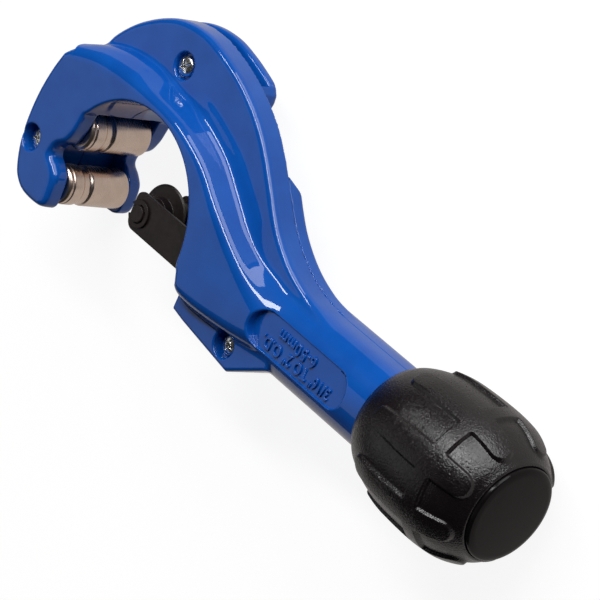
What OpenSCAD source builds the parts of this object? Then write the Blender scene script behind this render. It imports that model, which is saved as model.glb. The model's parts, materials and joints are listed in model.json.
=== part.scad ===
// Screw-feed pipe cutter: C-shaped clamshell frame, sliding fork with a cutter wheel,
// two guide rollers, fold-out deburring blade and a turning grip that drives the feed screw.
// X runs along the feed axis toward the grip, Y toward the spine, Z toward the screw-head side.
// The origin is the centre of the pipe opening, on the joint plane of the two halves.

/* [Frame] */
// radius of the C opening
opening_r = 30; // [29:0.5:30.5]
// half width of the tool across the jaw cheeks
cheek_z = 17.4; // [17:0.1:19]
// thickness of the spine flange
flange_t = 8; // [7.4:0.1:9]
// radius of the handle barrel
handle_r = 13.3; // [13:0.1:13.5]
// flat back of the handle, distance from the feed axis
back_y = 12.3; // [11.5:0.1:12.6]
// where the handle ends inside the grip
handle_end = 118; // [116:0.5:118]
// height of the lower screw flange above the joint plane
lower_z = 11; // [10:0.1:11.5]
// gap between the halves for the folded blade
slot_w = 3.4; // [3:0.1:4]
// thickness of the rear spine plate
spine_t = 3.2; // [2.5:0.1:3.6]
// thickness of the rear half's own flange behind the blade slot
rear_flange_t = 4.5; // [4:0.1:5]
// depth of the handle pad below the crown of the barrel
pad_depth = 1.6; // [1.4:0.1:2]

/* [Rollers] */
// roller radius
roller_r = 6; // [5.5:0.1:6.2]
// roller half length
roller_half = 11.5; // [11:0.1:11.6]
// roller axis, distance from the opening centre along the feed axis
roller_x = -31; // [-31.3:0.1:-30.5]
// roller axis, distance either side of the feed axis
roller_y = 8.8; // [8.5:0.1:9]
// roller pin radius
roller_pin_r = 2; // [1.8:0.1:2.2]

/* [Cutter] */
// cutting edge radius of the wheel
wheel_r = 9.1; // [9:0.1:9.2]
// wheel axis along the feed direction with the jaw half open
wheel_x = 2.3; // [1.8:0.1:2.6]
// wheel pin radius
wheel_pin_r = 2.5; // [2.2:0.1:2.6]
// half width of the fork over its cheeks
fork_z = 9.2; // [9.1:0.1:9.3]
// sheet thickness of the fork
fork_t = 1.6; // [1.5:0.1:1.7]
// bottom of the fork
fork_low = -5.6; // [-5.7:0.1:-5.5]
// top edge of the fork cheeks
fork_top = 6; // [5.8:0.1:6.2]
// rear end of the fork
fork_end = 72; // [71:0.5:72]

/* [Feed] */
// feed screw major radius
screw_r = 3.5; // [3.4:0.1:3.5]
// running clearance on the screw
screw_gap = 0.06; // [0.03:0.01:0.09]
// free tip of the feed screw
screw_tip = 44.5; // [44.3:0.1:46]
// bush outer radius
bush_r = 7; // [6.8:0.1:7.5]

/* [Grip] */
// front rim of the grip
mouth_x = 108.5; // [107.5:0.5:109]
// bore of the grip around the handle
mouth_r = 14.2; // [14.1:0.1:14.3]
// height of the ribs
rib_h = 0.8; // [0.4:0.1:1]
// number of ribs around the grip
rib_n = 8; // [6:1:10]
// width of a rib
rib_w = 7.6; // [6:0.2:8.4]
// radius of the end cap
cap_r = 13.9; // [13:0.1:13.9]

/* [Deburring blade] */
// blade pivot along the feed axis
pivot_x = -5.7; // [-6:0.1:-5.5]
// blade pivot from the feed axis
pivot_y = 43; // [42.5:0.1:43.5]
// reach of the blade from its pivot
blade_reach = 21.6; // [20:0.1:21.8]

/* [View] */
// part to show

/* [Hidden] */
$fn = 64;
e = 0.01;
// three frame screws: x, y, top of head, end of shank
SCREWS = [[-42.4, -0.3, 15, -10], [pivot_x, pivot_y, 8.2, -6.4], [52.8, -12.2, 9.2, -9]];
head_r = 3;
shank_r = 1.5;
pocket_z = 11.8;
channel_z = fork_z + 0.2;
hub_x = handle_end + 1.5;
rivet_l = 3.7;
collar_r = 5.5;
clip_r = 4.1;
// width of the square drive between the feed screw and the grip, and of its socket
drive_w = 4.8;
socket_w = drive_w + 0.06;
// end of the round part of the opening, where the cheek outline takes over
cheek_edge_x = -25.45;

// outline around the jaw, common to every layer, from the inner tip to the upper corner
JAW = [[-27.5, -16], [-33.3, -16.4], [-38.5, -15.8], [-42.3, -13.6], [-44.6, -10.5], [-46.8, -4.6],
    [-47.9, 3], [-47.6, 12], [-46, 20.5], [-43.9, 26.9]];
// top crest, then the matching foot with its height
CREST = [[-41.3, 29], [-30.8, 32.2], [-21.8, 33.4], [-12.6, 33.8], [-4.7, 33.6], [3.5, 33.1],
    [12.1, 31.5], [23.7, 27.2], [33.3, 21.1], [39, 17.3]];
FOOT = [[-41.5, 31, 7.6], [-33, 35, 7.6], [-24, 37.4, 7.6], [-15, 38.1, 7.6], [-5.5, 37.8, 8.3], [4, 37.2, 10.5],
    [14, 35.6, 12.8], [26.5, 29.5, 13], [36.5, 23.3, 13], [42, 19.9, 13]];
// outer edge of the spine flange, down to the flat back of the handle
SPINE = [[-39.4, 30], [-38, 35], [-35.3, 39], [-30.9, 43.6], [-26, 47.4], [-21.1, 50.4], [-15.5, 52.9], [-9, 54.4],
    [-2, 54.6], [5, 53.3], [11, 51.7], [16.5, 49.8], [23.4, 46.6], [30.3, 42.3], [36.3, 37.2], [42.5, 31],
    [46.5, 26.8], [51, 22.6], [56.5, 18.8], [62.2, 15.9], [69, 13.7], [80, 11.8]];
// inner edge of the jaw cheeks
CHEEK = [[-20, -19], [-26.9, -19], [-26.5, -12], [-27, -5.6], [-29.5, -2.6], [-32.2, -0.9], [-32.8, 1], [-31.6, 3.2],
    [-28.6, 5.6], [-26.9, 9.4], [-26.2, 13], [-25.4, 16.2], [-20, 15.5]];
// grip profile between the ribs
GRIP = [[mouth_x, mouth_r + 0.5], [110.5, 16.2], [112.5, 17.3], [115, 18.3], [118.5, 19.3], [123, 20.1],
    [129, 20.6], [136, 20.8], [141, 20.5], [145, 19.8], [148.5, 18.7], [151.5, 17.1], [153.6, 15.5],
    [154.4, cap_r + 0.4]];

function flat(p) = [for (q = p) [q[0], q[1]]];
function lift(p, z) = [for (q = p) [q[0], q[1], z]];

// cylinder along +X starting at x
module bar_x(x, r, l) {
    translate([x, 0, 0])
        rotate([0, 90, 0])
            cylinder(h = l, r = r);
}

// solid of revolution about the feed axis from [x, r] points
module turned(p) {
    rotate([0, 90, 0])
        rotate_extrude($fn = 96)
            polygon([for (q = p) [q[1], q[0]]]);
}

// straight prism between two heights
module slab(p, z0, z1) {
    translate([0, 0, z0])
        linear_extrude(z1 - z0)
            polygon(p);
}

// closed skin over an open strip of points that runs clockwise about the origin:
// a vertical wall from low to mid, a slope from mid to top, and a vertical inner wall
module skin(low, mid, top, inner_low, inner_top) {
    n = len(low);
    m = n;
    t = 2 * n;
    a = 3 * n;
    b = 4 * n;
    c = n - 1;
    steps = [0:n - 2];
    polyhedron(
        points = concat(low, mid, top, inner_low, inner_top),
        faces = concat(
            [for (i = steps) [i, a + i, a + i + 1, i + 1]],
            [for (i = steps) [i, i + 1, m + i + 1, m + i]],
            [for (i = steps) [m + i, m + i + 1, t + i]],
            [for (i = steps) [m + i + 1, t + i + 1, t + i]],
            [for (i = steps) [t + i, t + i + 1, b + i + 1, b + i]],
            [for (i = steps) [b + i, b + i + 1, a + i + 1, a + i]],
            [[a, 0, m, t, b], [a + c, b + c, t + c, m + c, c]]));
}

// raised C body with its sloped back
module c_body() {
    crest = concat(JAW, CREST);
    foot = concat(JAW, flat(FOOT));
    inner = [for (q = crest) 22 * q / norm(q)];
    skin(lift(foot, 0), concat(lift(JAW, 8), FOOT), lift(crest, cheek_z), lift(inner, 0), lift(inner, cheek_z));
}

// one cross section of the shoulder between the C and the barrel
module shoulder_cut(x, p) {
    translate([x, 0, 0])
        rotate([90, 0, 90])
            linear_extrude(0.2)
                polygon(p);
}

// blend from the wide C end down to the handle barrel
module shoulder() {
    arc = [for (a = [0:12:180]) [cos(a), sin(a)]];
    neck = concat((handle_r + 0.4) * arc, [[13, 12.6], [8, 14.6]]);
    top = cheek_z - 0.1;
    wide = [[-9.8, 0], [-9.8, 11.8], [-8.5, 14.6], [-6, 16.6], [-3.5, top], [17.4, top],
        [21.7, 13.1], [22.6, 12.6], [22.8, 0]];
    hull() {
        shoulder_cut(31.5, wide);
        shoulder_cut(38, wide);
    }
    hull() {
        shoulder_cut(38, wide);
        shoulder_cut(55, neck);
    }
    hull() {
        shoulder_cut(55, neck);
        shoulder_cut(78, (handle_r - 1.2) * arc);
    }
}

// everything solid in one half, joint plane at z = 0
module half_solid() {
    c_body();
    shoulder();
    intersection() {
        bar_x(34, handle_r, handle_end - 34);
        translate([34, -20, 0])
            cube([100, 20 + back_y, 20]);
    }
    slab([[29.6, -14.6], [34.9, -15.6], [57, -18.4], [70.8, -9.9], [70.8, -6], [29.6, -6]], 0, lower_z);
}

// channel, wheel slot, clip relief, bush seat and roller pocket shared by both halves
module half_cuts() {
    translate([20, fork_low - 0.2, -channel_z])
        cube([87, fork_top - fork_low + 0.4, 2 * channel_z]);
    translate([20, -10, -2.4])
        cube([24, 20, 4.8]);
    translate([20, -5.4, -11.2])
        cube([19.5, 10.8, 22.4]);
    bar_x(106, bush_r + 0.02, 20);
    bar_x(110, bush_r + 2.6, 3);
    translate([-37.6, -20, -pocket_z])
        cube([20, 36.3, 2 * pocket_z]);
    for (s = [-1, 1])
        translate([roller_x, s * roller_y, -15])
            cylinder(h = 30, r = roller_pin_r + 0.02);
    intersection() {
        translate([0, 0, -30])
            cylinder(h = 60, r = opening_r, $fn = 128);
        translate([cheek_edge_x, -40, -30])
            cube([80, 80, 60]);
    }
    slab(CHEEK, -30, 30);
}

// stadium pad sunk in the side of the handle
module pad_cut() {
    for (x = [66, 95])
        translate([x, 0, handle_r - pad_depth])
            cylinder(h = 3, r = 5.4);
    translate([66, -5.4, handle_r - pad_depth])
        cube([29, 10.8, 3]);
}

module frame_half_front() {
    color("RoyalBlue")
        difference() {
            union() {
                half_solid();
                slab(concat(SPINE, [[80, 6], [46, 6], [20, 20], [0, 31], [-25, 18]]), 0, flange_t);
            }
            half_cuts();
            pad_cut();
            for (s = SCREWS) {
                translate([s[0], s[1], -e])
                    cylinder(h = 30, r = shank_r + 0.05);
                translate([s[0], s[1], s[2] - 2])
                    cylinder(h = 30, r = 3.9);
            }
        }
}

// flange of the rear half from behind the blade slot down to the handle, with a sloped start
module rear_flange() {
    start = [39.4, 34.1];
    run = [for (q = SPINE) if (q[0] > start[0] + 2) q];
    difference() {
        slab(concat([start], run, [[80, 6], [46, 6], [33, 24]]), -rear_flange_t, 0);
        translate([start[0], start[1], 0])
            rotate([0, 41, -45])
                translate([-20, -20, -20])
                    cube([30, 40, 20]);
    }
}

module frame_half_rear() {
    rim = [for (q = SPINE) if (q[0] < 14) q];
    color("RoyalBlue")
        difference() {
            union() {
                mirror([0, 0, 1])
                    half_solid();
                rear_flange();
                slab(concat(rim, [[17, 48.2], [18.4, 46.2], [18.2, 43], [16, 33], [-25, 24]]),
                    -slot_w - spine_t, -slot_w);
                slab([[17, 48.2], [18.4, 46.2], [18.2, 43], [16, 33], [14, 33], [17, 43]], -slot_w - 1, 0);
                slab([[-39.4, 30], [-38, 35], [-35.3, 39], [-30.9, 43.6], [-26, 35], [-28, 30]], -slot_w - 1, 0);
            }
            mirror([0, 0, 1])
                half_cuts();
            for (s = SCREWS)
                translate([s[0], s[1], s[3] - 0.3])
                    cylinder(h = 30, r = shank_r + 0.05);
        }
}

// pan head screw with a cross recess, head top at z = 0
module pan_screw(l) {
    difference() {
        union() {
            translate([0, 0, -2])
                cylinder(h = 1.4, r = head_r);
            translate([0, 0, -0.6])
                cylinder(h = 0.6, r1 = head_r, r2 = head_r - 0.8);
            translate([0, 0, -l])
                cylinder(h = l - 1, r = shank_r);
        }
        for (a = [0, 90])
            rotate([0, 0, a])
                translate([-1.8, -0.35, -1.1])
                    cube([3.6, 0.7, 2]);
    }
}

module frame_screws() {
    color("Silver")
        for (s = SCREWS)
            translate([s[0], s[1], s[2]])
                pan_screw(s[2] - s[3]);
}

// roller with a flare groove toward the screw-head side
module roller() {
    h = roller_half;
    r = roller_r;
    rotate_extrude($fn = 96)
        polygon([[roller_pin_r + 0.06, -h], [r - 0.4, -h], [r, -h + 0.4], [r, 3.1], [r - 0.7, 3.8], [r - 0.7, 5.1],
            [r, 5.8], [r, 9.7], [r - 0.35, 9.9], [r - 0.35, 10.3], [r, 10.5], [r, h - 0.4], [r - 0.4, h],
            [roller_pin_r + 0.06, h]]);
}

module upper_roller() {
    color("Silver")
        translate([roller_x, roller_y, 0])
            roller();
}

module lower_roller() {
    color("Silver")
        translate([roller_x, -roller_y, 0])
            roller();
}

module upper_roller_pin() {
    color("Gray")
        translate([roller_x, roller_y, -14.9])
            cylinder(h = 29.8, r = roller_pin_r);
}

module lower_roller_pin() {
    color("Gray")
        translate([roller_x, -roller_y, -14.9])
            cylinder(h = 29.8, r = roller_pin_r);
}

module cutter_wheel() {
    b = wheel_pin_r + 0.06;
    color("DimGray")
        translate([wheel_x, 0, 0])
            rotate_extrude($fn = 96)
                polygon([[b, -4], [5, -4], [5.2, -3.8], [5.2, -1.2], [6.5, -1], [wheel_r, -0.08], [wheel_r, 0.08],
                    [6.5, 1], [5.2, 1.2], [5.2, 3.8], [5, 4], [b, 4]]);
}

module wheel_spacers() {
    color("DimGray")
        for (s = [-1, 1])
            translate([wheel_x, 0, s * 5.8 - 1.6])
                difference() {
                    cylinder(h = 3.2, r = 4.6);
                    translate([0, 0, -1])
                        cylinder(h = 6, r = wheel_pin_r + 0.02);
                }
}

module wheel_pin() {
    color("DimGray")
        translate([wheel_x, 0, 0])
            difference() {
                union() {
                    translate([0, 0, -fork_z])
                        cylinder(h = 2 * fork_z + 1.3, r = wheel_pin_r);
                    translate([0, 0, -fork_z - 1.2])
                        cylinder(h = 1.2, r = 4);
                }
                translate([0, 0, fork_z])
                    difference() {
                        cylinder(h = 0.7, r = 4);
                        translate([0, 0, -1])
                            cylinder(h = 3, r = wheel_pin_r - 0.5);
                    }
            }
}

module pin_clip() {
    color("Black")
        translate([wheel_x, 0, fork_z])
            difference() {
                cylinder(h = 0.7, r = clip_r);
                translate([0, 0, -1])
                    cylinder(h = 3, r = wheel_pin_r - 0.5);
                translate([-8, -1.9, -1])
                    cube([8, 3.8, 3]);
                for (a = [65, -65])
                    rotate([0, 0, a])
                        translate([2.6, -0.7, -1])
                            cube([0.9, 1.4, 3]);
            }
}

// one fork cheek outline with rounded front corners
module fork_side() {
    x0 = wheel_x - 3.9;
    difference() {
        translate([x0, fork_low])
            square([fork_end - x0, fork_top - fork_low]);
        for (c = [[fork_low, 1, 2.8], [fork_top, -1, 2]])
            difference() {
                translate([x0 - 1, c[0] - (c[1] > 0 ? 1 : c[2])])
                    square([c[2] + 1, c[2] + 1]);
                translate([x0 + c[2], c[0] + c[1] * c[2]])
                    circle(c[2]);
            }
        translate([wheel_x, 0])
            circle(wheel_pin_r + 0.02);
    }
}

module wheel_fork() {
    color("DimGray")
        difference() {
            union() {
                for (z = [-fork_z, fork_z - fork_t])
                    translate([0, 0, z])
                        linear_extrude(fork_t)
                            fork_side();
                translate([wheel_x + 11.5, fork_low, -fork_z + 1])
                    cube([fork_end - wheel_x - 11.5, fork_t, 2 * fork_z - 2]);
            }
            for (x = [63.5, 69])
                translate([x, 0, -20])
                    cylinder(h = 40, r = 1.52);
        }
}

module feed_nut() {
    color("Goldenrod")
        difference() {
            translate([fork_end - 12, fork_low + fork_t, -fork_z + fork_t])
                cube([12, fork_top - fork_low - fork_t - 0.3, 2 * (fork_z - fork_t)]);
            bar_x(40, screw_r + screw_gap, 50);
            for (x = [63.5, 69], s = [-1, 1])
                translate([x, 0, s * 10 - 4.6])
                    cylinder(h = 9.2, r = 1.52);
        }
}

module nut_rivets() {
    color("Silver")
        for (x = [63.5, 69], s = [-1, 1])
            translate([x, 0, s * (fork_z - rivet_l / 2) - rivet_l / 2])
                cylinder(h = rivet_l, r = 1.5);
}

module feed_screw() {
    color("Silver")
        difference() {
            union() {
                turned([[screw_tip, 0], [screw_tip, screw_r - 1], [screw_tip + 1, screw_r], [104, screw_r],
                    [104, screw_r - 0.1], [105.5, screw_r - 0.1], [105.5, collar_r], [106.8, collar_r],
                    [106.8, screw_r - 0.05], [hub_x, screw_r - 0.05], [hub_x, 0]]);
                translate([hub_x - e, -drive_w / 2, -drive_w / 2])
                    cube([14, drive_w, drive_w]);
            }
            bar_x(hub_x + 2, 1.5, 20);
        }
}

module feed_bush() {
    color("Goldenrod")
        difference() {
            union() {
                bar_x(107.05, bush_r, handle_end - 107.05);
                bar_x(110.05, bush_r + 2.5, 2.9);
            }
            bar_x(100, screw_r, 30);
        }
}

module thrust_washer() {
    color("Silver")
        difference() {
            bar_x(handle_end + 0.3, 9, 1.2);
            bar_x(110, screw_r - 0.03, 20);
        }
}

// upright stadium prism standing on the feed axis at angle a
module rib_post(a, x0, x1) {
    rotate([a, 0, 0])
        translate([0, 0, 10]) {
            translate([x0, -rib_w / 2, 0])
                cube([x1 - x0, rib_w, 20]);
            translate([x0, 0, 0])
                cylinder(h = 20, r = rib_w / 2, $fn = 32);
            translate([x1, 0, 0])
                cylinder(h = 20, r = rib_w / 2, $fn = 32);
        }
}

module grip_body() {
    n = len(GRIP);
    skirt = [[154.4, 0], [mouth_x, 0]];
    color("Black")
        difference() {
            union() {
                turned(concat(GRIP, skirt));
                intersection() {
                    turned(concat([for (q = GRIP) [q[0], q[1] + rib_h]], skirt));
                    union() {
                        for (k = [0:rib_n - 1])
                            rib_post((k - 0.4) * 360 / rib_n, hub_x, 149);
                        difference() {
                            bar_x(138, 30, 4.4);
                            bar_x(130, 10, 20);
                        }
                    }
                }
            }
            bar_x(100, mouth_r, hub_x - 100);
            translate([100, -socket_w / 2, -socket_w / 2])
                cube([34, socket_w, socket_w]);
            bar_x(130, 1.7, 20);
            bar_x(140, 9.6, 20);
            bar_x(152.2, cap_r + 0.02, 10);
        }
}

module grip_washer() {
    color("Silver")
        difference() {
            bar_x(140, 5, 1);
            bar_x(130, 1.6, 20);
        }
}

module grip_screw() {
    color("Silver")
        translate([143, 0, 0])
            rotate([0, 90, 0])
                difference() {
                    pan_screw(19);
                    translate([0, 0, -30])
                        cylinder(h = 11.2, r = 5);
                }
}

module grip_cap() {
    color("DarkSlateGray")
        turned([[152.3, 0], [152.3, 7.4], [146, 7.4], [146, 9.4], [152.3, 9.4], [152.3, cap_r], [155.3, cap_r],
            [155.7, cap_r - 0.5], [156, 11], [156.2, 7], [156.3, 0]]);
}

module deburring_blade() {
    color("Silver")
        translate([pivot_x, pivot_y, -slot_w + 0.7])
            difference() {
                union() {
                    cylinder(h = 2.2, r = 4.2);
                    linear_extrude(2.2)
                        polygon([[0, 4.2], [-1, -4.1], [9, -3.8], [blade_reach, 1.6], [blade_reach - 0.4, 2.6],
                            [10, 6.2], [6, 6.2]]);
                }
                translate([0, 0, -1])
                    cylinder(h = 5, r = 2.56);
                translate([9, 4, 1.6])
                    cylinder(h = 2, r = 1.4);
            }
}

module blade_sleeve() {
    color("Gray")
        translate([pivot_x, pivot_y, -slot_w])
            difference() {
                cylinder(h = slot_w, r = 2.5);
                translate([0, 0, -1])
                    cylinder(h = 6, r = shank_r + 0.05);
            }
}

module blade_spring() {
    color("Gray")
        translate([pivot_x, pivot_y, -slot_w])
            difference() {
                cylinder(h = 0.4, r = 4);
                translate([0, 0, -1])
                    cylinder(h = 3, r = 2.55);
            }
}

frame_half_front();
frame_half_rear();
frame_screws();
upper_roller();
lower_roller();
upper_roller_pin();
lower_roller_pin();
cutter_wheel();
wheel_spacers();
wheel_pin();
pin_clip();
wheel_fork();
feed_nut();
nut_rivets();
feed_screw();
feed_bush();
thrust_washer();
grip_body();
grip_screw();
grip_washer();
grip_cap();
deburring_blade();
blade_sleeve();
blade_spring();
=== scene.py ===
"""Looks of a screw-feed pipe cutter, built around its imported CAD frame.

Lengths are in millimetres in the row frame until a mesh is made: X along the feed axis toward the grip,
Y toward the spine, Z toward the side the screws are driven from.
"""

import json
import math

import bpy
import numpy as np
from mathutils import Matrix, Vector

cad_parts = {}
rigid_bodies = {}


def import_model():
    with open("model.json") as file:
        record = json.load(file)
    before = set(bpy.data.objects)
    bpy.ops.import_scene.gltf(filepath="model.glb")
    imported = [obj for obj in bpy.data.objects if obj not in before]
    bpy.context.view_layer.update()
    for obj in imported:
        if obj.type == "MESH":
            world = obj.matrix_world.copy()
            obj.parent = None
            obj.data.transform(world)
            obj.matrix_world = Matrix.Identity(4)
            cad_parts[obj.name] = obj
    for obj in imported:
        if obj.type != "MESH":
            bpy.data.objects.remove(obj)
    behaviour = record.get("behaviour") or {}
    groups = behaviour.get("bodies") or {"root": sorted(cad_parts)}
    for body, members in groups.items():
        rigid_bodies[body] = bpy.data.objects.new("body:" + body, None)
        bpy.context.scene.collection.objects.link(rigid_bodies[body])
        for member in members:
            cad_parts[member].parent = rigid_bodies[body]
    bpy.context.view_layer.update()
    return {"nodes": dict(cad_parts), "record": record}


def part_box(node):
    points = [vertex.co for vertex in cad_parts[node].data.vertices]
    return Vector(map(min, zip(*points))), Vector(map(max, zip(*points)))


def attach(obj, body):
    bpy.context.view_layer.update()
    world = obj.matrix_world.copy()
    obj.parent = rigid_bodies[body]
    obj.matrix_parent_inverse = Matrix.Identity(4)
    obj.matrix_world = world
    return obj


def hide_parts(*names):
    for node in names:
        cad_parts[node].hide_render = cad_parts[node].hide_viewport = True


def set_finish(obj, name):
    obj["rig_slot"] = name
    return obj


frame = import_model()

MM = 0.001


def box_mm(node):
    """Lowest and highest corner of a CAD node, in millimetres."""
    low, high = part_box(node)
    return np.array(low) / MM, np.array(high) / MM


def centre_mm(node):
    low, high = box_mm(node)
    return (low + high) / 2


# ---------------------------------------------------------------- design sizes
OPENING_R = 30.0
FLANGE_T = 8.0
HANDLE_R = 13.3
BACK_Y = 12.3
LOWER_Z = 11.0
SLOT_W = 3.4
SPINE_T = 3.2
REAR_FLANGE_T = 4.5
REAR_FLANGE_START = (39.4, 34.1)
REAR_FLANGE_RAMP = 0.87
PAD_Z = 11.7
PAD_HALF = 5.4
PAD_ENDS = (66.0, 95.0)
COUNTERBORE_R = 3.9
POCKET_Z = 11.8
CHEEK_EDGE_X = -25.45
SEAM = 0.07
# x, y and head top of each frame screw
SCREWS = [(-42.4, -0.3, 15), (-5.7, 43, 8.2), (52.8, -12.2, 9.2)]
FORK_T = 1.6
RIVET_X = (63.5, 69)
RIB_COUNT = 8
RIB_HEIGHT = 0.95
RIB_ANGLE = math.radians(27)

_, front_high = box_mm("frame_half_front")
CHEEK_Z = front_high[2]
HANDLE_END = front_high[0]
grip_low, grip_high = box_mm("grip_body")
wheel_low, wheel_high = box_mm("cutter_wheel")
fork_low, fork_high = box_mm("wheel_fork")

# ---------------------------------------------------------------- outlines
JAW = [(-27.5, -16), (-33.3, -16.4), (-38.5, -15.8), (-42.3, -13.6), (-44.6, -10.5), (-46.8, -4.6),
       (-47.85, 3), (-47.6, 12), (-46, 20.5), (-43.9, 26.9)]
CREST = [(-41.3, 29), (-30.8, 32.2), (-21.8, 33.4), (-12.6, 33.8), (-4.7, 33.6), (3.5, 33.1),
         (12.1, 31.5), (23.7, 27.2), (33.3, 21.1), (45.3, 13.2), (56, 6.6), (64, 1.6),
         (66, -1.5), (62, -4.6), (54, -6.6), (44, -7.4), (36, -7.2), (32.4, -6), (30.6, -2.4)]
FOOT = [(-41.5, 31), (-33, 35), (-24, 37.4), (-15, 38.1), (-5.5, 37.8), (4, 37.2), (14, 35.4),
        (26.5, 29.5), (36.5, 23.3), (47, 17), (56, 12), (65, 8.2), (71, 3.5), (71, -2),
        (65, -7), (54, -9.4), (44, -10), (34.5, -10), (30.8, -7.5), (30, -3)]
INSIDE = [(24, 4), (14, 18), (0, 23), (-14, 18), (-22, 6), (-22, -14)]
SPINE = [(-39.4, 30), (-38, 35), (-35.3, 39), (-30.9, 43.6), (-26, 47.4), (-21.1, 50.4), (-15.5, 52.9),
         (-9, 54.3), (-2, 54.5), (5, 53.3), (11, 51.7), (16.5, 49.8), (23.4, 46.6), (30.3, 42.3),
         (36.3, 37.2), (42.5, 31), (46.5, 26.8), (51, 22.6), (56.5, 18.8), (62.2, 15.9),
         (69, 13.7), (78, 11.8), (88, 8)]
CHEEK = [(-20, -19), (-26.9, -19), (-26.5, -12), (-27, -5.6), (-29.5, -2.6), (-32.2, -0.9), (-32.8, 1),
         (-31.6, 3.2), (-28.6, 5.6), (-26.9, 9.4), (-26.2, 13), (-25.2, 16.2), (-20, 15)]
LOWER = [(29.6, -14.6), (34.9, -15.6), (57, -18.4), (70.8, -9.9), (70.8, -6), (29.6, -6)]


def smoothed(points, cuts=5, closed=False):
    """A Catmull-Rom curve through the points."""
    p = np.array(points, float)
    if closed:
        p = np.vstack([p[-1:], p, p[:2]])
    else:
        p = np.vstack([2 * p[0] - p[1], p, 2 * p[-1] - p[-2]])
    t = np.linspace(0, 1, cuts, endpoint=False)[:, None]
    out = []
    for a, b, c, d in zip(p[:-3], p[1:-2], p[2:-1], p[3:]):
        square = (2 * a - 5 * b + 4 * c - d) * t**2
        cube = (3 * b - a - 3 * c + d) * t**3
        out.append(0.5 * (2 * b + (c - a) * t + square + cube))
    out = np.vstack(out)
    return out if closed else np.vstack([out, p[-2:-1]])


class Outline:
    """Signed distance to a closed outline, negative inside, read from a grid with a cubic filter."""

    STEP = 0.5
    LOW = np.array([-56.0, -26.0])
    SIZE = (364, 180)

    def __init__(self, points):
        x = self.LOW[0] + self.STEP * np.arange(self.SIZE[0])[:, None]
        y = self.LOW[1] + self.STEP * np.arange(self.SIZE[1])[None, :]
        a = np.array(points, float)
        b = np.roll(a, -1, axis=0)
        best = np.full(self.SIZE, 1e9)
        inside = np.zeros(self.SIZE, bool)
        for (ax, ay), (bx, by) in zip(a, b):
            ex, ey = bx - ax, by - ay
            t = np.clip(((x - ax) * ex + (y - ay) * ey) / (ex * ex + ey * ey), 0, 1)
            best = np.minimum(best, (x - ax - ex * t) ** 2 + (y - ay - ey * t) ** 2)
            if ay != by:
                crossing = (ay > y) != (by > y)
                inside ^= crossing & (x < ax + (y - ay) * ex / ey)
        self.field = np.where(inside, -1, 1) * np.sqrt(best)

    @staticmethod
    def weights(t):
        return (((2 - t) * t - 1) * t / 2, ((3 * t - 5) * t * t + 2) / 2,
                ((4 - 3 * t) * t + 1) * t / 2, (t - 1) * t * t / 2)

    def at(self, x, y):
        x, y = np.broadcast_arrays(x, y)
        u = np.clip((x - self.LOW[0]) / self.STEP, 1, self.SIZE[0] - 3)
        v = np.clip((y - self.LOW[1]) / self.STEP, 1, self.SIZE[1] - 3)
        i, j = u.astype(int), v.astype(int)
        wu, wv = self.weights(u - i), self.weights(v - j)
        out = 0.0
        for m in range(4):
            row = 0.0
            for n in range(4):
                row = row + wv[n] * self.field[i + m - 1, j + n - 1]
            out = out + wu[m] * row
        return out


# ---------------------------------------------------------------- solid blending
def join(a, b, k):
    """Union with a soft fillet about k wide."""
    h = np.clip(0.5 + 0.5 * (b - a) / k, 0, 1)
    return b * (1 - h) + a * h - k * h * (1 - h)


def meet(a, b, k):
    """Intersection with a soft rounded edge."""
    return -join(-a, -b, k)


def cut(a, b, k):
    """a without b, with a soft rounded edge."""
    return meet(a, -b, k)


def ease(t):
    t = np.clip(t, 0, 1)
    return t * t * (3 - 2 * t)


def block(x, y, z, low, high):
    """Signed distance to a box, sharp outside corners."""
    d = -1e9
    for value, lo, hi in zip((x, y, z), low, high):
        d = np.maximum(d, np.maximum(lo - value, value - hi))
    return d


def stadium(x, y, x0, x1, r):
    return np.hypot(x - np.clip(x, x0, x1), y) - r


# ---------------------------------------------------------------- frame halves
crest_line = Outline(np.vstack([smoothed(JAW), smoothed(CREST), INSIDE]))
foot_line = Outline(np.vstack([smoothed(JAW), smoothed(FOOT), INSIDE]))
SPINE_ROOT = [(80, 2), (60, 2), (42, 10), (22, 24), (0, 31), (-25, 22), (-36, 26)]
spine_line = Outline(np.vstack([smoothed(SPINE), SPINE_ROOT]))
REAR_EDGE = [q for q in smoothed(SPINE).tolist() if q[0] < 15.5]
REAR_ROOT = [(16.8, 49.2), (18.2, 47.4), (18.5, 45.2), (18, 42), (15, 32), (0, 31), (-25, 24)]
rear_spine_line = Outline(REAR_EDGE + REAR_ROOT)
cheek_line = Outline(smoothed(CHEEK, 4, closed=True))
lower_line = Outline(LOWER)


BARREL_TOP = 13.6
JAW_DROP = 1.55
MIDDLE_GAIN = 1.75
HANDLE_LOSS = 2.0
LOWER_DROP = 2.15
WALL_DROP = 16
WALL_WIDTH = 2
COVE_START_X = -5
COVE_END_X = 60
COVE_LOWEST_Y = 4
COVE_REACH = 6.5
COVE_TILT = 0.37
COVE_HINGE = 2.4


def top_height(x):
    """Height of the C's flat top, easing down to the barrel of the handle."""
    return CHEEK_Z - (CHEEK_Z - BARREL_TOP) * ease((x - 30) / 36)


def steepness(x, y, wide):
    """Drop per millimetre outside the crest, upright where crest and foot nearly meet."""
    spine_side = JAW_DROP + MIDDLE_GAIN * ease((x + 16) / 18) - HANDLE_LOSS * ease((x - 44) / 17)
    slope = np.where(y < 0, LOWER_DROP, spine_side)
    return slope + (WALL_DROP - slope) * ease((WALL_WIDTH - wide) / 1.2)


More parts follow.
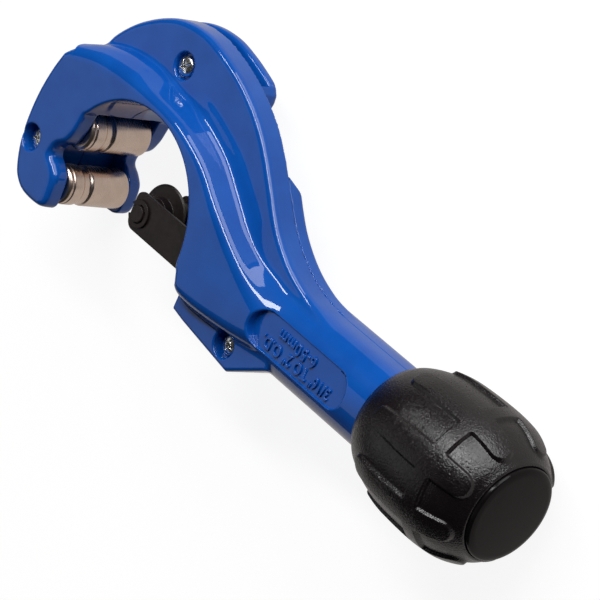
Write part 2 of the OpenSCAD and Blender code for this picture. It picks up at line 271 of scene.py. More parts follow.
def cove(x, y, z, crest):
    """Low bank between the foot of the slope and the flange."""
    height = 6.2 + 3.4 * ease((x - COVE_START_X) / 17) - 3 * ease((x - 40) / 17)
    bank = (z - height + COVE_TILT * (crest - COVE_HINGE)) / math.hypot(1, COVE_TILT)
    ends = np.maximum(COVE_START_X - x, x - COVE_END_X)
    return np.maximum(meet(bank, crest - COVE_REACH, 1), np.maximum(COVE_LOWEST_Y - y, ends))


def half_solid(x, y, z):
    """Distance to what the two halves share, for z above the joint plane."""
    crest, foot = crest_line.at(x, y), foot_line.at(x, y)
    top = top_height(x)
    drop = steepness(x, y, crest - foot)
    slope = (z - top + crest * drop) / np.sqrt(1 + drop**2)
    body = meet(z - top, slope, 2.6)
    body = meet(body, foot, 1.3)
    body = join(body, cove(x, y, z, crest), 1.5)
    barrel = meet(np.hypot(y, z) - HANDLE_R, y - BACK_Y, 1.2)
    barrel = meet(barrel, 33 - x, 1.0)
    body = join(body, barrel, 4.5)
    lower = meet(lower_line.at(x, y), z - LOWER_Z, 1.4)
    return join(body, lower, 0.9)


def half_cuts(solid, x, y, z):
    """Takes the opening, the roller pocket, the channel, the bush seats and the roller pin holes out of a
    half, and trims its end.
    """
    jaw = ease((-24 - x) / 5)
    round_edge = 1.1 + 0.9 * jaw + 1.0 * jaw * ease((1.5 - y) / 3)
    arc = np.maximum(np.hypot(x, y) - OPENING_R, CHEEK_EDGE_X - x)
    opening = join(arc, cheek_line.at(x, y), 0.6)
    solid = cut(solid, opening, round_edge)
    pocket = block(x, y, z, (-37.6, -22, -9), (-8, 16.3, POCKET_Z))
    solid = cut(solid, pocket, 0.8)
    channel = block(x, y, z, (20, fork_low[1] - 0.2, -9), (106.9, fork_high[1] + 0.2, fork_high[2] + 0.2))
    solid = cut(solid, channel, 0.7)
    solid = cut(solid, block(x, y, z, (10, -10, -9), (44, 10, 2.4)), 0.5)
    solid = cut(solid, block(x, y, z, (10, -5.4, -9), (39.5, 5.4, 11.2)), 0.5)
    bush = np.hypot(y, z)
    solid = cut(solid, np.maximum(bush - 7.1, 105 - x), 0.3)
    solid = cut(solid, np.maximum(bush - 9.7, np.abs(x - 111.5) - 1.55), 0.2)
    roller_x, roller_y, _ = centre_mm("upper_roller")
    for side in (-1, 1):
        pin = np.hypot(x - roller_x, y - side * roller_y) - 2.1
        solid = cut(solid, np.maximum(pin, z - 15), 0.3)
    return meet(solid, x - HANDLE_END, 0.8)


def front_half(x, y, z):
    solid = half_solid(x, y, z)
    flange = meet(spine_line.at(x, y), z - FLANGE_T, 2.4)
    solid = join(solid, flange, 1.6)
    solid = half_cuts(solid, x, y, z)
    pad = np.maximum(stadium(x, y, *PAD_ENDS, PAD_HALF), PAD_Z - z)
    solid = cut(solid, pad, 0.7)
    for sx, sy, head in SCREWS:
        solid = cut(solid, np.maximum(np.hypot(x - sx, y - sy) - COUNTERBORE_R, head - 2 - z), 0.7)
        solid = cut(solid, np.hypot(x - sx, y - sy) - 1.7, 0.2)
    return np.maximum(solid, SEAM - z)


def rear_flange(x, y, z):
    """Flange of the far half, from a sloped start behind the blade slot down to the handle."""
    flange = meet(spine_line.at(x, y), z - REAR_FLANGE_T, 1.2)
    along = ((x - REAR_FLANGE_START[0]) - (y - REAR_FLANGE_START[1])) / math.sqrt(2)
    return meet(flange, (z - REAR_FLANGE_RAMP * along) / math.hypot(1, REAR_FLANGE_RAMP), 0.8)


def rear_half(x, y, z):
    """The far half, built as its own mirror image."""
    solid = join(half_solid(x, y, z), rear_flange(x, y, z), 1.2)
    mid = SLOT_W + SPINE_T / 2
    plate = meet(rear_spine_line.at(x, y), np.abs(z - mid) - SPINE_T / 2, 1.3)
    solid = join(solid, plate, 1.2)
    web = np.maximum(rear_spine_line.at(x, y), np.maximum(z - mid, np.maximum(16.4 - x, 38 - y)))
    heel = np.maximum(rear_spine_line.at(x, y), np.maximum(z - mid, x + 27.5))
    solid = join(solid, np.minimum(web, heel), 0.6)
    solid = half_cuts(solid, x, y, z)
    for sx, sy, _ in SCREWS:
        solid = cut(solid, np.maximum(np.hypot(x - sx, y - sy) - 1.7, z - 10), 0.2)
    return np.maximum(solid, SEAM - z)


# ---------------------------------------------------------------- surface from a solid
def gradient(solid, p, h=0.02):
    g = np.empty_like(p)
    for axis in range(3):
        a, b = p.copy(), p.copy()
        a[:, axis] += h
        b[:, axis] -= h
        g[:, axis] = (solid(*a.T) - solid(*b.T)) / (2 * h)
    return g


def surface(solid, low, high, step):
    """Vertices, quads and normals of the zero surface, one vertex in each cell that it passes through."""
    axes = [np.arange(lo, hi + step, step) for lo, hi in zip(low, high)]
    value = solid(axes[0][:, None, None], axes[1][None, :, None], axes[2][None, None, :])
    shape = np.array(value.shape)
    inside = value < 0
    cells = shape - 1
    corner_sum = np.zeros(cells, int)
    crossing_sum = np.zeros((*cells, 3))
    crossings = np.zeros(cells, int)

    def window(array, offset):
        return array[tuple(slice(o, o + n) for o, n in zip(offset, cells))]

    for corner in np.ndindex(2, 2, 2):
        corner_sum += window(inside, corner)
    for axis in range(3):
        for u in (0, 1):
            for v in (0, 1):
                start = [u, v]
                start.insert(axis, 0)
                end = list(start)
                end[axis] = 1
                a, b = window(value, start), window(value, end)
                hit = (a < 0) != (b < 0)
                t = np.where(hit, a / np.where(hit, a - b, 1), 0)
                crossings += hit
                for k in range(3):
                    crossing_sum[..., k] += np.where(hit, t if k == axis else start[k], 0)
    mixed = (corner_sum > 0) & (corner_sum < 8)
    index = np.full(cells, -1)
    index[mixed] = np.arange(mixed.sum())
    where = np.argwhere(mixed)
    points = np.array([a[0] for a in axes]) + step * (where + crossing_sum[mixed] / crossings[mixed][:, None])
    for _ in range(3):
        f, g = solid(*points.T), gradient(solid, points)
        move = -(f / np.maximum((g * g).sum(1), 0.2))[:, None] * g
        points += np.clip(move, -0.4 * step, 0.4 * step)
    normals = gradient(solid, points)
    normals /= np.maximum(np.linalg.norm(normals, axis=1, keepdims=True), 1e-9)
    quads = []
    for axis in range(3):
        i, j = [k for k in range(3) if k != axis]
        here = [slice(1, -1)] * 3
        here[axis] = slice(0, -1)
        ahead = list(here)
        ahead[axis] = slice(1, None)
        first, second = inside[tuple(here)], inside[tuple(ahead)]
        for starts_inside in (True, False):
            at = np.argwhere((first != second) & (first == starts_inside))
            at = at + [0 if k == axis else 1 for k in range(3)]
            loop = []
            for di, dj in ((-1, -1), (0, -1), (0, 0), (-1, 0)):
                cell = at.copy()
                cell[:, i] += di
                cell[:, j] += dj
                loop.append(index[tuple(cell.T)])
            flip = starts_inside == (axis == 1)
            quads.append(np.stack(loop[::-1] if flip else loop, 1))
    return points, np.vstack(quads), normals


def mesh_object(name, points, faces, normals=None, mirror=False):
    """A smooth-shaded object from millimetre points."""
    points = np.array(points, float) * MM
    faces = np.array(faces)
    if mirror:
        points = points * (1, 1, -1)
        faces = faces[:, ::-1]
    mesh = bpy.data.meshes.new(name)
    mesh.vertices.add(len(points))
    mesh.vertices.foreach_set("co", points.ravel())
    sides = faces.shape[1]
    mesh.loops.add(faces.size)
    mesh.loops.foreach_set("vertex_index", faces.ravel())
    mesh.polygons.add(len(faces))
    mesh.polygons.foreach_set("loop_start", np.arange(0, faces.size, sides))
    mesh.update(calc_edges=True)
    mesh.shade_smooth()
    if normals is not None:
        normals = normals * ((1, 1, -1) if mirror else (1, 1, 1))
        mesh.normals_split_custom_set_from_vertices(normals.tolist())
    obj = bpy.data.objects.new(name, mesh)
    bpy.context.collection.objects.link(obj)
    return obj


HALF_STEP = 0.5


def make_half(name, node, solid, mirror):
    low, high = (-49.3, -20.3, -0.7), (119.2, 56.2, CHEEK_Z + 1.1)
    points, quads, normals = surface(solid, low, high, HALF_STEP)
    half = mesh_object(name, points, quads, normals, mirror)
    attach(half, "frame")
    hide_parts(node)
    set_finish(half, "frame_paint")
    return half


front = make_half("casting_front", "frame_half_front", front_half, False)
rear = make_half("casting_rear", "frame_half_rear", rear_half, True)

# ---------------------------------------------------------------- turned and wrapped surfaces
def softened(corners):
    """An outline and its normals from corners (a, b, edge), each rounded off over edge millimetres."""
    p = np.array([c[:2] for c in corners], float)
    points, normals = [], []
    for i, corner in enumerate(corners):
        before, after = p[i - 1] - p[i], p[(i + 1) % len(p)] - p[i]
        room = 0.48 * min(np.linalg.norm(before), np.linalg.norm(after))
        edge = min(max(corner[2], 0.01), room)
        a = p[i] + before / np.linalg.norm(before) * edge
        b = p[i] + after / np.linalg.norm(after) * edge
        for t in np.linspace(0, 1, 2 if edge < 0.04 else 6):
            points.append((1 - t) ** 2 * a + 2 * t * (1 - t) * p[i] + t * t * b)
            d = (1 - t) * (p[i] - a) + t * (b - p[i])
            normals.append((d[1], -d[0]) / np.linalg.norm(d))
    points, normals = np.array(points), np.array(normals)
    return (points, normals) if turns_left(points) else (points[::-1], -normals[::-1])


def turns_left(p):
    q = np.roll(p, -1, axis=0)
    return (p[:, 0] * q[:, 1] - q[:, 0] * p[:, 1]).sum() > 0


def grid_faces(rows, columns):
    """Quads of a grid that closes on itself both ways."""
    i, j = np.meshgrid(np.arange(rows), np.arange(columns), indexing="ij")
    i2, j2 = (i + 1) % rows, (j + 1) % columns
    loop = [i * columns + j, i2 * columns + j, i2 * columns + j2, i * columns + j2]
    return np.stack(loop, -1).reshape(-1, 4)


def lathe(name, corners, place, axis="Z", sides=96):
    """A turned piece whose section has corners given as (along the axis, radius, edge)."""
    section, slope = softened(corners)
    turn = np.linspace(0, 2 * np.pi, sides, endpoint=False)
    c, s = np.cos(turn), np.sin(turn)

    def sweep(pairs):
        a, r = pairs[:, :1], pairs[:, 1:]
        return np.stack([a + 0 * c, r * c, r * s], -1).reshape(-1, 3)

    points, normals = sweep(section), sweep(slope)
    if axis == "Z":
        points, normals = np.roll(points, -1, axis=1), np.roll(normals, -1, axis=1)
    return mesh_object(name, points + place, grid_faces(len(section), sides), normals)


def wrap(name, section, sides, radius_at):
    """A piece round the feed axis whose radius changes with the angle, from a left-turning section."""
    turn = np.linspace(0, 2 * np.pi, sides, endpoint=False)[None, :]
    x, r = section[:, :1], section[:, 1:]
    r = radius_at(x, r, turn)
    grid = np.stack([x + 0 * turn, r * np.cos(turn), r * np.sin(turn)], -1)
    along = np.roll(grid, -1, 0) - np.roll(grid, 1, 0)
    around = np.roll(grid, -1, 1) - np.roll(grid, 1, 1)
    normals = np.cross(along, around)
    normals /= np.maximum(np.linalg.norm(normals, axis=2, keepdims=True), 1e-9)
    return mesh_object(name, grid.reshape(-1, 3), grid_faces(*grid.shape[:2]), normals.reshape(-1, 3))


def place_piece(piece, body, slot, *nodes):
    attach(piece, body)
    if nodes:
        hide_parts(*nodes)
    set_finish(piece, slot)
    return piece


HAIR = 0.02  # bore radius that stands for a solid core

# ---------------------------------------------------------------- grip and its cap
GRIP = [(grip_low[0] + 0.5, 14.9), (110.5, 16.1), (112.5, 17.1), (115, 18.1), (118.5, 19.15), (123, 20),
        (129, 20.4), (136, 20.55), (141, 20.3), (145, 19.7), (148.5, 18.5), (151.5, 16.9), (153.6, 15.2)]
GRIP_BORE = 14.2
HUB_X = 119.5
SOCKET_W = 4.86
CAP_R = 13.9
CAP_SEAT_X = 152.2


def rib_relief(x, angle, radius):
    """Height of the raised ribs and of the ring that joins them."""
    pitch = 2 * np.pi / RIB_COUNT
    off = (angle - RIB_ANGLE + pitch / 2) % pitch - pitch / 2
    half = radius * np.radians(8.8 + 1.7 * ease((x - 116) / 20))
    corner = np.where(x < 135, 2.3, 2.9)
    front, back = 116.2, 152.5
    end = np.abs(x - (front + back) / 2) - (back - front) / 2 + corner
    side = np.abs(off) * radius - half + corner
    rib = np.minimum(np.maximum(end, side), 0) + np.hypot(np.maximum(end, 0), np.maximum(side, 0)) - corner
    ring = np.abs(x - 140.15) - 2.35
    return RIB_HEIGHT * ease(0.5 - join(rib, ring, 0.7) / 0.55)


def resampled(points, step):
    """The same line with even steps along it."""
    p = np.array(points, float)
    run = np.concatenate([[0], np.cumsum(np.linalg.norm(np.diff(p, axis=0), axis=1))])
    at = np.linspace(0, run[-1], int(run[-1] / step) + 1)
    return np.stack([np.interp(at, run, p[:, k]) for k in (0, 1)], 1)


def grip_section():
    mouth = grip_low[0]
    lip = [(mouth + 0.9, GRIP_BORE), (mouth + 0.25, GRIP_BORE + 0.1), (mouth, GRIP_BORE + 0.4)]
    rear = [(154.2, 14.75), (154.4, 14.35), (154.38, 14.1), (154.2, CAP_R + 0.04)]
    skin = resampled(lip + smoothed(GRIP, 8).tolist() + rear, 0.26)
    inside = [(CAP_SEAT_X, CAP_R + 0.04), (CAP_SEAT_X, 9.6), (140, 9.6), (140, 1.7), (134, 1.7),
              (134, SOCKET_W / 2), (HUB_X, SOCKET_W / 2), (HUB_X, GRIP_BORE)]
    return np.vstack([skin, inside])


def grip_radius(x, r, turn):
    outer = (r > GRIP_BORE + 0.6) & (x < 154)
    ribbed = r + np.where(outer, rib_relief(x, turn, r), 0)
    square = SOCKET_W / 2 / np.maximum(np.abs(np.cos(turn)), np.abs(np.sin(turn)))
    return np.where(np.abs(r - SOCKET_W / 2) < 1e-6, square, ribbed)


grip = wrap("grip_moulding", grip_section()[::-1], 512, grip_radius)
place_piece(grip, "grip", "grip_plastic", "grip_body")

cap_corners = [(CAP_SEAT_X + 0.1, HAIR, 0), (CAP_SEAT_X + 0.1, 7.4, 0.1), (146, 7.4, 0.3),
               (146, 9.4, 0.3),
               (CAP_SEAT_X + 0.1, 9.4, 0.1), (CAP_SEAT_X + 0.1, CAP_R, 0.2), (155.4, CAP_R, 0.9),
               (155.95, 12.5, 0.9), (156.15, 9, 2), (156.28, 4, 2), (156.3, HAIR, 0)]
cap = lathe("grip_end_cap", cap_corners, (0, 0, 0), "X", 160)
place_piece(cap, "grip", "cap_plastic", "grip_cap")

# ---------------------------------------------------------------- feed screw
SCREW_TIP = 44.5
SCREW_R = 3.5
PITCH = 2.0
DRIVE_W = 4.8


def feed_screw_radius(x, r, turn):
    """Adds a right-handed trapezoidal thread to the long part and flats to the square drive."""
    phase = (x / PITCH - turn / (2 * np.pi)) % 1
    groove = 0.9 * ease((0.42 - np.abs(phase - 0.5)) / 0.2)
    threaded = ease((x - SCREW_TIP + 0.2) / 0.8) * ease((102 - x) / 1.5)
    square = DRIVE_W / 2 / np.maximum(np.abs(np.cos(turn)), np.abs(np.sin(turn)))
    r = np.where((r > 2.9) & (x < 103), r - groove * threaded, r)
    return np.where((x > HUB_X) & (r > 1.6), square, r)


thread_x = np.arange(SCREW_TIP + 1, 103, 0.16)
thread_run = np.stack([thread_x, np.full(len(thread_x), SCREW_R)], 1)
screw_section = np.vstack([[(SCREW_TIP, HAIR), (SCREW_TIP, 1.5), (SCREW_TIP, 2.5)], thread_run,
                           [(104, 3.5), (104.1, 3.4), (105.5, 3.4), (105.5, 5.3), (105.7, 5.5),
                            (106.6, 5.5), (106.8, 5.3), (106.8, 3.45), (112, 3.45), (HUB_X, 3.45),
                            (HUB_X + 0.01, 2.4), (126, 2.4), (133.3, 2.4), (133.5, 2.3),
                            (133.5, 1.5), (121.5, 1.5), (121.5, HAIR)]])
feed_screw = wrap("feed_screw_threaded", screw_section[::-1], 48, feed_screw_radius)
place_piece(feed_screw, "grip", "pin_steel", "feed_screw")

# ---------------------------------------------------------------- guide rollers
ROLLER_CORNERS = [(-11.5, 2.08, 0.1), (-11.5, 5.3, 0.2), (-11.1, 5.9, 0.25), (-10.8, 6, 0.2), (2.6, 6, 0.3),
                  (3.5, 5.4, 0.35), (5.4, 5.4, 0.35), (6.3, 6, 0.3), (9.5, 6, 0.2), (9.8, 5.7, 0.15),
                  (10.2, 5.7, 0.15), (10.45, 5.95, 0.15), (10.9, 5.85, 0.25), (11.5, 5.1, 0.25),
                  (11.5, 2.08, 0.1)]
for side in ("upper", "lower"):
    place = centre_mm(side + "_roller") * (1, 1, 0)
    roller = lathe(side + "_roller_turned", ROLLER_CORNERS, place, "Z", 128)
    place_piece(roller, side + "_guide", "roller_steel", side + "_roller")

# ---------------------------------------------------------------- cutter wheel, its pin, spacers and clip
AXLE = centre_mm("cutter_wheel") * (1, 1, 0)
WHEEL_R = (wheel_high[1] - wheel_low[1]) / 2
FORK_Z = fork_high[2]
WHEEL_CORNERS = [(-4, 2.56, 0.1), (-4, 5.2, 0.25), (-1.3, 5.2, 0.3), (-0.85, 6.6, 0.5),
                 (-0.42, WHEEL_R - 0.55, 0.12), (-0.04, WHEEL_R, 0.02), (0.04, WHEEL_R, 0.02),
                 (0.42, WHEEL_R - 0.55, 0.12), (0.85, 6.6, 0.5), (1.3, 5.2, 0.3), (4, 5.2, 0.25),
                 (4, 2.56, 0.1)]
wheel = lathe("cutter_wheel_ground", WHEEL_CORNERS, AXLE, "Z", 192)
place_piece(wheel, "wheel", "black_steel", "cutter_wheel")

PIN_CORNERS = [(-FORK_Z - 1.2, HAIR, 0), (-FORK_Z - 1.2, 4, 0.4), (-FORK_Z, 4, 0.15), (-FORK_Z, 2.5, 0.05),
               (FORK_Z, 2.5, 0.03), (FORK_Z, 2.05, 0.03), (FORK_Z + 0.7, 2.05, 0.03),
               (FORK_Z + 0.7, 2.5, 0.05), (FORK_Z + 1.3, 2.5, 0.3), (FORK_Z + 1.3, HAIR, 0)]
place_piece(lathe("wheel_pin_turned", PIN_CORNERS, AXLE), "fork", "black_steel", "wheel_pin")
for number, z in enumerate((-7.4, 4.2), 1):
    ring = [(z, 2.52, 0.1), (z, 4.6, 0.35), (z + 3.2, 4.6, 0.35), (z + 3.2, 2.52, 0.1)]
    place_piece(lathe(f"wheel_spacer_{number}", ring, AXLE), "fork", "black_steel", "wheel_spacers")


def clip_solid(x, y, z):
    """Open retaining ring with three inner lobes, its mouth toward the rollers."""
    u, v = x - AXLE[0], y
    radius, angle = np.hypot(u, v), np.arctan2(v, u)
    bore = 2.07 + 0.65 * ease((np.abs(np.sin(1.5 * angle)) - 0.35) / 0.3)
    ring = np.maximum(radius - 4.1, bore - radius)
    ring = cut(ring, np.maximum(np.abs(v) - 1.5, u), 0.3)
    return meet(ring, np.abs(z - FORK_Z - 0.36) - 0.33, 0.2)


def as_piece(name, solid, low, high, step, body, slot, *nodes, mirror=False):
    points, quads, normals = surface(solid, low, high, step * (1))
    return place_piece(mesh_object(name, points, quads, normals, mirror), body, slot, *nodes)


clip_low = (AXLE[0] - 4.6, -4.6, FORK_Z - 0.3)
clip_high = (AXLE[0] + 4.6, 4.6, FORK_Z + 1.1)
as_piece("pin_clip_open_ring", clip_solid, clip_low, clip_high, 0.12, "fork", "black_steel", "pin_clip")


# ---------------------------------------------------------------- fork
def fork_solid(x, y, z):
    """Bent channel with rounded front corners."""
    u = np.abs(x - (fork_low[0] + fork_high[0]) / 2) - (fork_high[0] - fork_low[0]) / 2
    v = np.abs(y - (fork_low[1] + fork_high[1]) / 2) - (fork_high[1] - fork_low[1]) / 2
    corner = np.where(x > 20, 0.6, np.where(y < 0, 3.0, 2.4))
    u, v = u + corner, v + corner
    outline = np.minimum(np.maximum(u, v), 0) + np.hypot(np.maximum(u, 0), np.maximum(v, 0)) - corner
    solid = meet(outline, np.abs(z) - FORK_Z, 0.5)
    web_x = AXLE[0] + 11.5
    between = np.abs(z) - (FORK_Z - FORK_T)
    gap = join(np.maximum(between, fork_low[1] + FORK_T - y), np.maximum(between, x - web_x), 0.3)
    solid = cut(solid, gap, 0.4)
    solid = cut(solid, np.hypot(x - AXLE[0], y) - 2.52, 0.15)
    for rivet in RIVET_X:
        solid = cut(solid, np.maximum(np.hypot(x - rivet, y) - 1.53, 5 - np.abs(z)), 0.1)
    return solid


as_piece("wheel_fork_bent", fork_solid, fork_low - 0.7, fork_high + 0.7, 0.4, "fork", "black_steel",
         "wheel_fork")

# ---------------------------------------------------------------- frame screws
HEAD_R = 3.0
SCREW_TURNS = (20, 32, -14)


def screw_solid(x, y, z, length):
    """Pan head with a cross recess, head top at z = 0."""
    r = np.hypot(x, y)
    dome = np.sqrt(r * r + (z + 5.6) ** 2) - 5.6
    head = meet(meet(r - HEAD_R, dome, 0.5), -2 - z, 0.3)
    shank = np.maximum(r - 1.45, np.maximum(-length - z, z + 1))
    solid = join(head, shank, 0.2)
    depth = 1.25 - 0.3 * r
    narrow = 0.42 - 0.08 * r
    slot = np.minimum(np.abs(x), np.abs(y)) - narrow
    cross = np.maximum(np.maximum(slot, r - 1.95), -z - depth)
    return cut(solid, cross, 0.15)


for number, (sx, sy, head) in enumerate(SCREWS, 1):
    length = head - box_mm("frame_screws")[0][2] - 0.3 if number == 1 else head + 6
    turned = math.radians(SCREW_TURNS[number - 1])

    def placed(x, y, z):
        u, v = x - sx, y - sy
        c, s = math.cos(turned), math.sin(turned)
        return screw_solid(c * u + s * v, c * v - s * u, z - head, length)

    low, high = (sx - 3.3, sy - 3.3, head - length - 0.4), (sx + 3.3, sy + 3.3, head + 0.4)
    as_piece(f"frame_screw_{number}", placed, low, high, 0.16, "frame", "zinc_hardware", "frame_screws")

# ---------------------------------------------------------------- deburring blade
PIVOT = centre_mm("blade_sleeve")
blade_low, blade_high = box_mm("deburring_blade")
BLADE = [(0, 4.2), (-1, -4.1), (9, -3.8), (21.6, 1.6), (21.2, 2.6), (10, 6.2), (6, 6.2)]
blade_line = Outline([(x + PIVOT[0], y + PIVOT[1]) for x, y in BLADE])


def blade_solid(x, y, z):
    """Flat triangular blade with a ground edge along its outer side."""
    u, v = x - PIVOT[0], y - PIVOT[1]
    outline = join(blade_line.at(x, y), np.hypot(u, v) - 4.2, 0.5)
    top = blade_high[2] - 1.3 * ease(1 - (v - (u - 9) * 0.43 + 3.8) / 3.4) * ease((u - 5) / 3)
    solid = meet(outline, z - top, 0.3)
    solid = meet(solid, blade_low[2] - z, 0.3)
    solid = cut(solid, np.hypot(u, v) - 2.56, 0.15)
    return cut(solid, np.maximum(np.hypot(u - 9, v - 4) - 1.4, blade_high[2] - 0.6 - z), 0.2)


as_piece("blade_ground", blade_solid, blade_low - 0.6, blade_high + 0.6, 0.3, "blade", "blade_steel",
         "deburring_blade")

# ---------------------------------------------------------------- size range on the pad
def lettering(name, words, x, y, height, width):
    """Raised generic size marks, read with the grip on the left."""
    data = bpy.data.curves.new(name, "FONT")
    data.body = words
    data.size = height * 1.35 * MM
    data.extrude = 0.45 * MM
    data.bevel_depth = 0.1 * MM
    data.bevel_resolution = 1
    data.resolution_u = 4
    data.align_x = "CENTER"
    data.space_character = 1.05
    text = bpy.data.objects.new(name + "_text", data)
    mesh = bpy.data.meshes.new_from_object(text)
    bpy.data.objects.remove(text)
    mesh.transform(Matrix.Translation((x * MM, y * MM, PAD_Z * MM)) @ Matrix.Diagonal((-width, -1, 1, 1)))
    piece = bpy.data.objects.new(name, mesh)
    bpy.context.collection.objects.link(piece)
    return place_piece(piece, "frame", "frame_paint")


PAD_X = sum(PAD_ENDS) / 2
lettering("size_marks_inch", "3/16\" TO 2\" O.D.", PAD_X, -0.9, 3.6, 0.79)
lettering("size_marks_mm", "6-50mm", PAD_X - 2, 3.4, 3.6, 0.95)

# ---------------------------------------------------------------- camera, floor, light
FOCUS_PX = 2995.2
PICTURE_PX = 600
eye = Vector((561.64, 276.17, 577.07)) * MM
right = Vector((0.5985, 0.39, -0.6998)).normalized()
forward = Vector((-0.6176, -0.3318, -0.7131)).normalized()
up = right.cross(forward).normalized()
right = forward.cross(up).normalized()
camera_data = bpy.data.cameras.new("camera")
camera_data.sensor_width = 36
camera_data.lens = FOCUS_PX * camera_data.sensor_width / PICTURE_PX
camera_data.clip_start = 0.01
camera_data.clip_end = 50
camera = bpy.data.objects.new("camera", camera_data)
turn = Matrix((right, up, -forward)).transposed()
camera.matrix_world = Matrix.Translation(eye) @ turn.to_4x4()
bpy.context.collection.objects.link(camera)
bpy.context.scene.camera = camera


class Finish:
    """A procedural material, with short ways to add nodes and wire them."""

    def __init__(self, name, color, metallic, roughness):
        self.material = bpy.data.materials.new(name)
        self.material.use_nodes = True
        self.tree = self.material.node_tree
        self.shader = self.tree.nodes["Principled BSDF"]
        self.set(self.shader, {"Base Color": (*color, 1), "Metallic": metallic, "Roughness": roughness})
        self.place = self.node("ShaderNodeTexCoord").outputs["Object"]

    @staticmethod
    def set(node, values):
        for socket, value in values.items():
            node.inputs[socket].default_value = value

    def node(self, kind, values=None, **settings):
        made = self.tree.nodes.new(kind)
        for key, value in settings.items():
            setattr(made, key, value)
        self.set(made, values or {})
        return made

    def link(self, output, node, socket):
        self.tree.links.new(output, node.inputs[socket])

    def noise(self, size, detail=2, stretch=(1, 1, 1), rough=0.5):
        """Noise whose grains are about size millimetres, stretched along the axes."""
        scaled = self.node("ShaderNodeMapping", {"Scale": [1 / (size * MM * k) for k in stretch]})
        self.link(self.place, scaled, "Vector")
        grain = self.node("ShaderNodeTexNoise", {"Scale": 1, "Detail": detail, "Roughness": rough})
        self.link(scaled.outputs["Vector"], grain, "Vector")
        return grain.outputs["Fac"]

    def spread(self, source, low, high, start=0.3, end=0.7):
        """Maps a texture onto low...high."""
        limits = {"From Min": start, "From Max": end, "To Min": low, "To Max": high}
        node = self.node("ShaderNodeMapRange", limits)
        self.link(source, node, "Value")
        return node.outputs["Result"]

    def roughness(self, source, low, high):
        self.link(self.spread(source, low, high), self.shader, "Roughness")

    def tint(self, source, first, second, start=0.35, end=0.65):
        ramp = self.node("ShaderNodeValToRGB")
        ramp.color_ramp.elements[0].position, ramp.color_ramp.elements[1].position = start, end
        ramp.color_ramp.elements[0].color, ramp.color_ramp.elements[1].color = (*first, 1), (*second, 1)
        self.link(source, ramp, "Fac")
        self.link(ramp.outputs["Color"], self.shader, "Base Color")

    def bump(self, *layers):
        """Stacks bumps given as (texture, depth in millimetres, strength)."""
        normal = None
        for source, depth, strength in layers:
            node = self.node("ShaderNodeBump", {"Strength": strength, "Distance": depth * MM})
            self.link(source, node, "Height")
            if normal:
                self.link(normal, node, "Normal")
            normal = node.outputs["Normal"]
        self.link(normal, self.shader, "Normal")


def frame_paint():
    """Glossy blue coating with a little orange peel."""
    f = Finish("frame_paint", (0.002, 0.08, 0.4), 0, 0.4)
    f.set(f.shader, {"Coat Weight": 1, "Coat Roughness": 0.04, "Specular IOR Level": 0.06})
    f.tint(f.noise(9, 3), (0.001, 0.074, 0.38), (0.002, 0.086, 0.42))
    f.roughness(f.noise(4, 3), 0.35, 0.45)
    f.bump((f.noise(2.4, 2), 0.02, 0.3), (f.noise(0.6, 2), 0.003, 0.2))
    return f


def turned_steel(name, color, low, high, axis):
    """Bare metal with fine turning lines across its axis."""
    f = Finish(name, color, 1, low)
    stretch = [1 if k == axis else 60 for k in range(3)]
    lines = f.noise(0.5, 1, stretch)
    f.tint(f.noise(4, 3), [0.9 * c for c in color], color)
    f.roughness(lines, low, high)
    f.bump((lines, 0.0004, 0.1))
    return f


def zinc_hardware():
    f = Finish("zinc_hardware", (0.78, 0.79, 0.8), 1, 0.2)
    f.tint(f.noise(0.9, 3), (0.66, 0.67, 0.66), (0.84, 0.85, 0.84))
    f.roughness(f.noise(0.5, 3), 0.12, 0.34)
    f.bump((f.noise(0.5, 2), 0.03, 0.5))
    return f


def black_steel():
    """Black oxide over stamped steel."""
    f = Finish("black_steel", (0.02, 0.014, 0.0125), 0.2, 0.4)
    f.set(f.shader, {"Specular IOR Level": 0.4})
    f.tint(f.noise(4, 3), (0.016, 0.011, 0.01), (0.024, 0.0165, 0.015))
    f.roughness(f.noise(1.2, 3), 0.34, 0.46)
    f.bump((f.noise(0.5, 3), 0.012, 0.3))
    return f


def blade_steel():
    f = Finish("blade_steel", (0.55, 0.56, 0.57), 1, 0.25)
    grind = f.noise(0.12, 3, (40, 1, 40))
    f.tint(f.noise(3, 3), (0.48, 0.49, 0.5), (0.6, 0.61, 0.62))
    f.roughness(grind, 0.2, 0.42)
    f.bump((grind, 0.01, 0.35))
    return f


def bronze():
    f = Finish("bronze", (0.55, 0.36, 0.15), 1, 0.3)
    f.tint(f.noise(2, 4), (0.42, 0.26, 0.1), (0.6, 0.4, 0.17))
    f.roughness(f.noise(0.2, 3, (1, 30, 30)), 0.24, 0.45)
    f.bump((f.noise(0.2, 3, (1, 30, 30)), 0.01, 0.3))
    return f


def grip_plastic():
    """Moulded black plastic with a pebbled skin."""
    f = Finish("grip_plastic", (0.006, 0.004, 0.005), 0, 0.3)
    f.set(f.shader, {"Specular IOR Level": 0.6})
    pebble = f.noise(0.45, 1, rough=0.5)
    f.tint(f.noise(6, 3), (0.0045, 0.003, 0.0035), (0.007, 0.0045, 0.0055))
    f.roughness(f.noise(1.1, 3), 0.22, 0.3)
    f.bump((pebble, 0.12, 1))
    return f


def cap_plastic():
    f = Finish("cap_plastic", (0.006, 0.005, 0.005), 0, 0.2)
    f.set(f.shader, {"Specular IOR Level": 0.16})
    f.tint(f.noise(5, 3), (0.005, 0.0042, 0.0042), (0.007, 0.006, 0.006))
    f.roughness(f.noise(1.6, 3), 0.14, 0.22)
    f.bump((f.noise(1.5, 3), 0.01, 0.2))
    return f


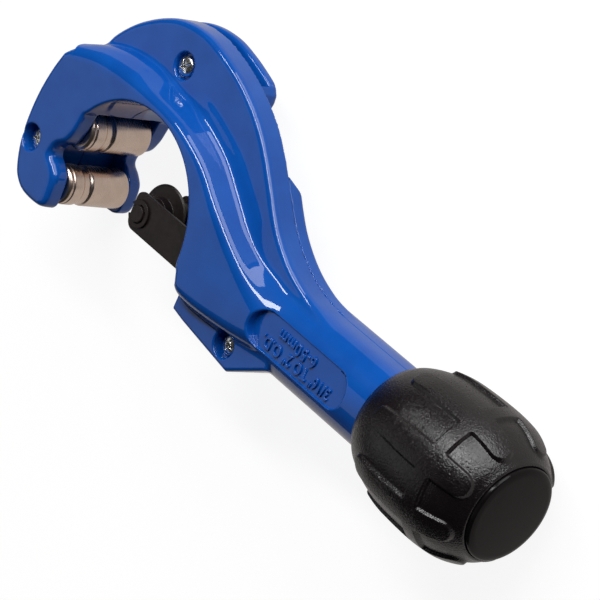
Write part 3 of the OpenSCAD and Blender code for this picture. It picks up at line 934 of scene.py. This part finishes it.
FINISH = {
    "frame_paint": frame_paint(),
    "zinc_hardware": zinc_hardware(),
    "roller_steel": turned_steel("roller_steel", (0.78, 0.62, 0.52), 0.26, 0.29, 2),
    "pin_steel": turned_steel("pin_steel", (0.5, 0.5, 0.5), 0.22, 0.42, 2),
    "black_steel": black_steel(),
    "blade_steel": blade_steel(),
    "bronze": bronze(),
    "grip_plastic": grip_plastic(),
    "cap_plastic": cap_plastic(),
}
FINISH = {slot: finish.material for slot, finish in FINISH.items()}
for part in frame["record"]["subparts"]:
    node = frame["nodes"][part["node"]]
    node.data.materials.clear()
    node.data.materials.append(FINISH[part["material_slot"]])
for piece in bpy.data.objects:
    slot = piece.get("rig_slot")
    if piece.type == "MESH" and not piece.data.materials and slot in FINISH:
        piece.data.materials.append(FINISH[slot])

floor_mesh = bpy.data.meshes.new("floor")
reach = 3.0
floor_corners = [(-reach, -reach, 0), (reach, -reach, 0), (reach, reach, 0), (-reach, reach, 0)]
floor_mesh.from_pydata(floor_corners, [], [(0, 1, 2, 3)])
floor = bpy.data.objects.new("floor", floor_mesh)
bpy.context.collection.objects.link(floor)
# the tool lies on its grip and on the jaw, this far apart
REST_SPAN = 170
REST_X = 0.138
lean = math.atan2((grip_high[2] - CHEEK_Z), REST_SPAN)
under_grip = Matrix.Translation((REST_X, 0, -grip_high[2] * MM))
floor.matrix_world = under_grip @ Matrix.Rotation(-lean, 4, "Y").inverted()
sweep = Finish("floor", (0.16, 0.16, 0.16), 0, 0.9)
sweep.set(sweep.shader, {"Emission Color": (1, 1, 1, 1), "Emission Strength": 0.9})
floor_mesh.materials.append(sweep.material)

# the camera sees the white floor, but reflections and bounce see this dimmer card just under it
CARD_DROP = 0.001
card = bpy.data.objects.new("card", floor_mesh.copy())
bpy.context.collection.objects.link(card)
card.matrix_world = Matrix.Translation((0, 0, -CARD_DROP)) @ floor.matrix_world
grey = Finish("card", (0.1, 0.1, 0.1), 0, 0.9)
grey.set(grey.shader, {"Emission Color": (1, 0.95, 0.92, 1), "Emission Strength": 0.5})
card.data.materials[0] = grey.material
floor.visible_glossy = False
floor.visible_diffuse = False
card.visible_camera = False


def area_light(name, place, target, size, power):
    data = bpy.data.lights.new(name, "AREA")
    data.shape = "RECTANGLE"
    data.size, data.size_y = size
    data.energy = power
    lamp = bpy.data.objects.new(name, data)
    lamp.location = place
    lamp.rotation_euler = (Vector(target) - Vector(place)).to_track_quat("-Z", "Y").to_euler()
    bpy.context.collection.objects.link(lamp)


area_light("key", place=(-0.03, 0.84, 0.92), target=(0.03, 0, 0), size=(1.25, 0.17), power=10.5)
area_light("side", place=(0.3, 1.15, 0.4), target=(0.03, 0, 0), size=(1.4, 0.6), power=10.5)
area_light("fill", place=(-0.85, -0.35, 0.95), target=(0, 0, 0), size=(0.9, 0.9), power=1.2)
world = bpy.data.worlds.new("studio")
bpy.context.scene.world = world
world.use_nodes = True
background = world.node_tree.nodes["Background"]
background.inputs["Color"].default_value = (1, 1, 1, 1)
background.inputs["Strength"].default_value = 0.025
bpy.context.scene.view_settings.view_transform = "Standard"
